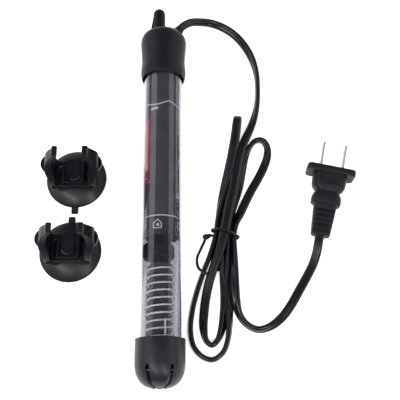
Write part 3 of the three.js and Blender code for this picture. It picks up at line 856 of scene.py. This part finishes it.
def make_print():
    """Generic line art: a wavy line, a ring line, plain symbols and a red strip with scale marks."""
    wave = smooth_print([
        (-98, 48.8), (-70, 46.3), (-38, 44.4), (-12, 43.9), (6, 44.9),
        (24, 46.1), (36, 45.5), (55, 44.2), (75, 44.2), (95, 46.3),
    ])
    hook = smooth_print([(96, 13.8), (82, 12.5), (69, 10.3), (66, 7.8), (74, 5.9), (92, 3.9)])
    white = [
        printed_line(wave, 0.85),
        printed_line([(-40, 41.3), (-12, 41.5)], 1.5),
        printed_line([(-100, 44.8), (-88, 43.3)], 0.8),
        printed_line(hook, 1.3),
        printed_line([(a, -23.9) for a in range(-180, 181, 6)], 0.7),
        printed_line([(-22, -31.1), (-22, -28.4), (-9.5, -26.2), (3, -28.4), (3, -31.1)], 0.6, True),
        printed_line(ring_print(-8.5, -29.3, 3, 0.5), 0.8, True),
        printed_line(ring_print(71, -28.5, 10, 2.2), 0.75, True),
        printed_line([(56, -12.3), (63, -9.1), (70, -12.3)], 0.8, True),
        *(printed_line([(-63, y), (-52, y + 0.5)], 0.6) for y in (-26.9, -28.6, -30.3)),
    ]
    marks = []
    for i, y in enumerate(range(-1, 34, 2)):
        ends = (-67, -56) if i % 3 else (-72, -52)  # every third mark is a long one
        marks.append(printed_line([(a, y) for a in ends], 0.75, lift=0.09))
    red = printed_patch(-88, -40, -4, 35.8, 0.05)
    band = printed_patch(-180, 180, -34.5, -24.3, 0.03)
    return [
        build("print_lines", combined(*white), "print_white", 60),
        build("print_marks", combined(*marks), "print_white", 60),
        build("print_strip", red, "print_red", 60),
        build("print_band", band, "print_band", 60),
    ]


def make_holder():
    """The block that carries the core, with its stem and a notch at its lower edge."""
    block = lathe([(0, -46.9), (7, -46.9), (8.1, -46.4), (8.7, -45.2), (8.7, -40), (8.4, -38.8), (7.4, -38),
                   (0, -38)], AXIS_X - 1.5)
    collar = lathe([(0, -48.9), (5.2, -48.9), (5.2, -46.2), (0, -46.2)])
    stem = box(5.2, 24, 4, AXIS_X - 1.6, -28, AXIS_Z + 4)
    made = build("holder_block", block, "cap_rubber", 40)
    notch = box(5, 5, 6, AXIS_X + 2.4, -47.2, AXIS_Z + 9)
    made = carve(made, notch)
    rest = build("holder_stem", combined(collar, stem), "black_plastic", 40, 0.4)
    return [made, rest]


def make_foot():
    """The cup that centres the core in the round end of the glass."""
    outline = [(0, -106.6), (4, -106.4), (7, -105), (8.8, -102.8), (9.6, -100.6), (9.6, -99.4),
               (9.2, -99), (0, -99)]
    return build("foot_cup", lathe(outline), "ceramic", 40)


COIL_R = 7.35
COIL_PITCH = 4
COIL_TURNS = 11
COIL_TOP = -51.6
CORE_X = AXIS_X - 0.45


def coil_angle(y):
    """The angle about the heater's axis where the wound wire passes a given height."""
    return 2 * pi * (COIL_TURNS + (y - COIL_TOP) / COIL_PITCH)


def make_core():
    """Ceramic former: a helical bed for the wire with a rounded land between its turns."""
    rings = []
    steps, sides = 560, 96
    top, bottom = -49.2, -101
    for j in range(steps + 1):
        y = bottom + (top - bottom) * j / steps
        ring = []
        for i in range(sides):
            a = 2 * pi * i / sides
            phase = (coil_angle(y) - a) / (2 * pi) % 1  # 0 at the wire and 0.5 midway between turns
            land = max(0, 1 - abs(phase - 0.5) / 0.2)
            groove = exp(-(((phase - 0.5) / 0.08) ** 2))
            edge = min(1, (y - bottom) / 0.8, (top - y) / 0.8)
            r = (6.1 + 1 * min(1, land * 2.2) - 0.25 * groove) * (0.93 + 0.07 * edge)
            ring.append((CORE_X + r * cos(a), y, AXIS_Z - r * sin(a)))
        rings.append(ring)
    return build("core_grooved", loft(rings), "ceramic", 50)


def make_coil():
    """The heating wire, wound round the core."""
    points = []
    per_turn = 40
    for i in range(COIL_TURNS * per_turn + 1):
        a = 2 * pi * i / per_turn
        y = COIL_TOP - COIL_PITCH * (COIL_TURNS - i / per_turn)
        points.append(Vector((CORE_X + COIL_R * cos(a), y, AXIS_Z - COIL_R * sin(a))))
    axes = [Vector((CORE_X, p.y, AXIS_Z)) - p for p in points]
    return build("coil_wound", sweep(points, circle(0.48, 10), axes), "bright_wire", 60)


def make_knob():
    """The temperature knob: a rounded post with a pointer fin down one side."""
    bottom, top, squash = 97.2, 115, 0.86
    rings = []
    stations = [(bottom, 4.2), (bottom + 0.5, 4.1), (bottom + 2, 3.9), (bottom + 7, 3.82),
                (bottom + 12, 3.8), (bottom + 13.4, 3.76), (bottom + 14.6, 3.5),
                (bottom + 15.6, 3), (bottom + 16.4, 2.2), (bottom + 16.85, 1.2), (top, 0.3)]
    for y, r in stations:
        rings.append([(KNOB.x + a, y, KNOB.z + squash * b) for b, a in circle(r, 64)])
    fin_outline = [(-1, bottom + 12.6), (-3.5, bottom + 12), (-4.1, bottom + 8), (-4.8, bottom + 3),
                   (-5.2, bottom + 0.2), (-1, bottom + 0.2)]
    fin = loft([[(KNOB.x + x, y, KNOB.z + z) for x, y in fin_outline] for z in (-1.5, 1.5)])
    rim = lathe([(2.1, top - 2.6), (2.4, top - 2.2), (2.1, top - 1.9), (1.8, top - 2.2)], KNOB.x, KNOB.z, 48)
    return [build("knob_post", combined(loft(rings), rim), "black_plastic", 50),
            build("knob_fin", fin, "black_plastic", 30, 0.5)]


piece(make_glass(), "heater", "glass", "glass_tube")
piece(make_cap(), "heater", "cap_rubber", "rubber_cap")
gland = piece(make_gland(), "heater", "cap_rubber", "cord_gland")
piece(make_guard(), "heater", "guard_plastic", "end_guard")
piece(make_sleeve(), "heater", "printed_sleeve", "label_sleeve")
for part in make_print():
    piece(part, "heater", "printed_sleeve")
for part in make_holder():
    piece(part, "heater", "cap_rubber", "core_holder")
piece(make_core(), "heater", "ceramic", "ceramic_core")
piece(make_foot(), "heater", "ceramic", "core_foot")
piece(make_coil(), "heater", "bright_wire", "heating_coil")
for part in make_knob():
    piece(part, "knob", "black_plastic", "adjust_knob")

lead = wire([(AXIS_X + 3, y, AXIS_Z + up) for y, up in ((-100, 7.9), (-94, 8.3), (-80, 8.3))], 0.45)
piece(build("return_wire", lead, "bright_wire", 60), "heater", "bright_wire", "return_lead")


# ---------------------------------------------------------------- clips

CUP_RADIUS = 17.8


def cup_centre(cup, tab):
    """The suction cup's middle; its pull tab reaches out of the round box on one side."""
    low, high = [Vector(corner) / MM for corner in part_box(cup)]
    return (low.x + high.x) / 2, high.y - CUP_RADIUS if tab < 0 else low.y + CUP_RADIUS


def make_cup(letter, x, y, tab, reach):
    """A suction cup, hollow below, with its neck, button and pull tab; tab is the tab's side along Y."""
    radius = CUP_RADIUS
    outline = [
        (14.9, 0), (radius - 0.5, 0), (radius - 0.1, 0.15), (radius, 0.5), (radius - 0.15, 0.9),
        (radius - 0.8, 1.45), (15.6, 2.3), (14, 3.2), (12.4, 3.95), (10.6, 4.55), (8.6, 5), (6, 5.35),
        (4.2, 5.6), (3.3, 6), (3, 6.5), (3, 8.8), (4.1, 9.1), (4.1, 9.7), (3.3, 10.1), (0, 10.1), (0, 3.4),
        (3, 3.3), (6, 2.95), (9.5, 2.1), (12.5, 1.1),
    ]
    stand = Matrix.Translation((x, y, 0)) @ Matrix.Rotation(pi / 2, 4, "X")
    rings = []
    for out, width in ((-2.4, 4.4), (0, 4.1), (reach - 0.9, 4), (reach - 0.25, 3.6), (reach, 2.6)):
        place = y + tab * (radius + out)
        rings.append([(x + width / 2 * s, place, z) for s, z in ((-1, 0.1), (1, 0.1), (1, 1.3), (-1, 1.3))])
    return [build("cup_" + letter + "_soft", moved(lathe(outline, 0, 0), stand), "cup_rubber", 40),
            build("cup_" + letter + "_tab", loft(rings), "cup_rubber", 40, 0.35)]


JAW_LEAN = 1.2  # how far the tips lean towards +X
JAW_ROOT = 10  # the height where the lean starts
JAW_TOP = 31
EAR_R = 5.8


def make_jaws(letter, x, y, neck_x):
    """Base plate, centre pad and two sprung arms with thumb ears that close round the tube.

    The plate and the pad are hollow below, round the cup's button at neck_x.
    """
    back = 8.2
    seat = flat([(neck_x + a, y + b) for a, b in arc(0, 0, 4.3, 0, 354, 60)], 6, 10.3)
    arm = [
        (9.4, 9.4), (12.9, 9.4), (12.9, 14.4), (13.3, 15.5), (14.2, 16.7), (14.9, 17.9), (15.2, 19.2),
        (15.15, 20.6), (14.7, 22), (13.8, 23.6), (12.6, 25.4), (11.4, 26.9), (10.5, 28.1), (10.1, 29.3),
        (10, 30.5), (9.6, 31), (7.3, 31), (6.95, 30.6), (6.9, 29.4), (7.5, 28.4), (8.4, 27.5), (9.4, 26),
        (10.2, 24.4), (10.8, 22.8), (11.1, 21.4), (11, 19.8), (10.6, 18.2), (9.9, 16.4),
    ]
    front = [(-back - 1, 9.6), (-back, 9.6), (-7.4, 13.5), (-4.8, 16.6), (-2.6, 19), (-0.4, 21.6), (1.2, 24),
             (2, 26), (2.2, 28), (2.2, 33), (-back - 1, 33)]
    made = []
    for side, name in ((-1, "left"), (1, "right")):
        outline = [(x + side * a + JAW_LEAN * max(0, z - JAW_ROOT) / (JAW_TOP - JAW_ROOT), z) for a, z in arm]
        solid = build("jaw_" + letter + "_" + name, prism(outline, y - back, y + back), "black_plastic")
        slope = loft([[(x + side * e, y + a, z) for a, z in front] for e in (5, 19)])
        made.append(soften(carve(solid, slope), 0.4))
        rim = [(x + side * (11.8 + a), y + 3.4 + b) for a, b in arc(0, 0, EAR_R, -86, 86, 28)]
        ear = build("ear_" + letter + "_" + name, flat(rim, 15.6, 17.8), "black_plastic")
        made.append(soften(ear, 0.6))
    plate = build("base_" + letter, box(25.8, 16.4, 3, x, y, 8.5), "black_plastic")
    slots = [box(1.7, 11, 5, x + side * 7.7, y + 0.6, 9.4) for side in (-1, 1)]
    made.append(soften(carve(plate, *slots, seat), 0.4))
    bars = [box(1.5, 12.4, 1.6, x + side * 5.7, y + 1, 10.6) for side in (-1, 1)]
    bars.append(box(12.9, 1.4, 1.6, x, y - 5.8, 10.6))
    bars.append(box(17.6, 1, 1, x, y - 7.6, 10.3))
    feet = [box(4.6, 2.4, 2.2, x + side * 9.9, y - back, 8.4) for side in (-1, 1)]
    made.append(build("frame_" + letter, combined(*bars, *feet), "black_plastic", bevel=0.35))
    half = 3.5
    rim = [(x - half, y + back), *[(x + a, y + b) for a, b in arc(0, -0.4, half, 180, 360, 14)],
           (x + half, y + back)]
    made.append(soften(carve(build("pad_" + letter, flat(rim, 9, 11), "black_plastic"), seat), 0.5))
    return made


for letter, tab, reach, offset in (("a", -1, 4, -0.4), ("b", 1, 3.1, 0.6)):
    cup_node, jaws_node = "clip_" + letter + "_cup", "clip_" + letter + "_jaws"
    x, y = cup_centre(cup_node, tab)
    for part in make_cup(letter, x, y, tab, reach):
        piece(part, "heater", "cup_rubber", cup_node)
    for part in make_jaws(letter, x + offset, y, x):
        piece(part, "clip_" + letter, "black_plastic", jaws_node)


# ---------------------------------------------------------------- CAD nodes that stay

for row in frame["record"]["subparts"]:
    slot = row["material_slot"]
    kept = bpy.data.objects.get(row["node"])
    if kept and slot in LOOKS:
        for own in kept.material_slots:
            own.material = LOOKS[slot]


# ---------------------------------------------------------------- floor and light

def sheet(outline, z):
    """One flat face."""
    return [(x, y, z) for x, y in outline], [list(range(len(outline)))]


def make_floor():
    """A white floor, with dark patches of painted shadow where the guard and the bundle all but touch it."""
    size = 3000
    made = build("floor", sheet([(-size, -size), (size, -size), (size, size), (-size, size)], 0), "floor")
    made.location.z = -0.2 * MM  # clear of the faces that rest at 0
    under_guard = [(AXIS_X - 7.5, -112.6), (AXIS_X + 4.5, -112.6), (AXIS_X + 9, -95), (AXIS_X - 10, -95)]
    under_bundle = [
        (54.6, -50), (60, -50), (66.8, -52), (69, -32), (71, -18), (70, 0), (67, 0), (59.4, -22), (58.2, -32),
    ]
    # Painted shadow: dark sheets that darken the floor seen through the guard's slots and between the
    # bundle's strands.
    for name, outline in (("guard", under_guard), ("bundle", under_bundle)):
        build("shade_" + name, sheet(outline, -0.1), "cord_sheath")


AIM = Vector((30, -10, 0)) * MM


def softbox(name, centre, size, radiance):
    """A rectangular lamp, in metres, facing the object; radiance is its brightness in a mirror."""
    data = bpy.data.lights.new(name, "AREA")
    data.shape = "RECTANGLE"
    data.size, data.size_y = size
    data.energy = radiance * pi * size[0] * size[1]
    lamp = bpy.data.objects.new(name, data)
    lamp.location = centre
    lamp.rotation_euler = (AIM - Vector(centre)).to_track_quat("-Z", "Y").to_euler()
    lamp.visible_camera = False
    bpy.context.collection.objects.link(lamp)


def make_light():
    """An even sky, three broad lamps, and two strips that draw thin highlights on the cord."""
    world = bpy.data.worlds.new("studio")
    bpy.context.scene.world = world
    world.use_nodes = True
    sky = world.node_tree.nodes["Background"]
    sky.inputs["Color"].default_value = (1, 1, 1, 1)
    sky.inputs["Strength"].default_value = 0.28
    softbox("top", (0.03, -0.42, 0.9), (1.3, 0.8), 0.7)
    softbox("left", (-0.9, 0.2, 0.65), (1.4, 0.7), 1.5)
    softbox("right", (1.0, 0.2, 0.6), (1.4, 0.6), 1.2)
    softbox("strip_left", (-0.35, -0.35, 0.8), (0.7, 0.05), 30)
    softbox("strip_right", (0.45, -0.5, 0.75), (0.05, 0.6), 26)


make_floor()
make_light()
bpy.context.scene.view_settings.view_transform = "Standard"
